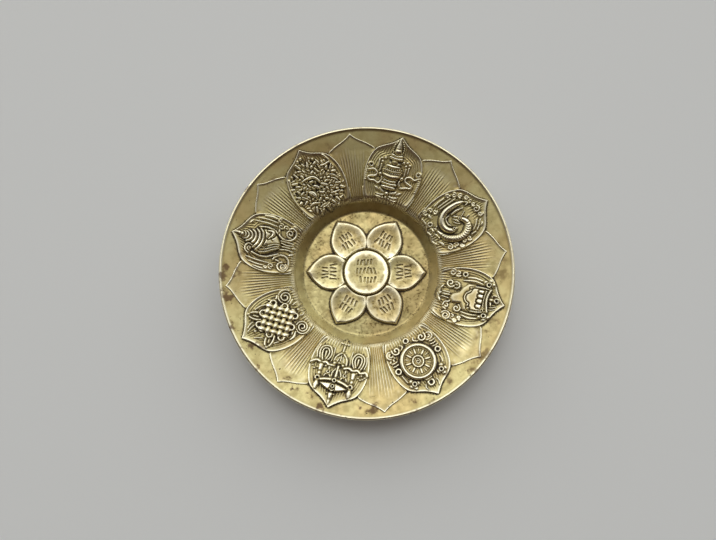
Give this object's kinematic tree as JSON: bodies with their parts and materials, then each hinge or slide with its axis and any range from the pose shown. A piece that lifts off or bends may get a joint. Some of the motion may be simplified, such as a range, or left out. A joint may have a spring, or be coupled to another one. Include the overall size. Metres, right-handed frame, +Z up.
{
  "type": "brass relief dish",
  "caption": "Shallow round cast brass dish on a foot ring, its inside worked in relief with petals, the auspicious symbols and a flower in the well.",
  "frame": {"origin": "centre of the foot ring, on the surface that the dish stands on", "axes": "+Z up along the axis of the dish, out of its hollow; +Y towards the top of the pattern as the picture shows it, with the vase petal 15.5 degrees clockwise of it"},
  "size_m": [0.142, 0.142, 0.02],
  "materials": {
    "aged_brass": "cast, hand polished on the high parts, with dull brown patina in the recesses"
  },
  "bodies": {
    "root": {"relief_dish": "aged_brass"}
  },
  "joints": []
}
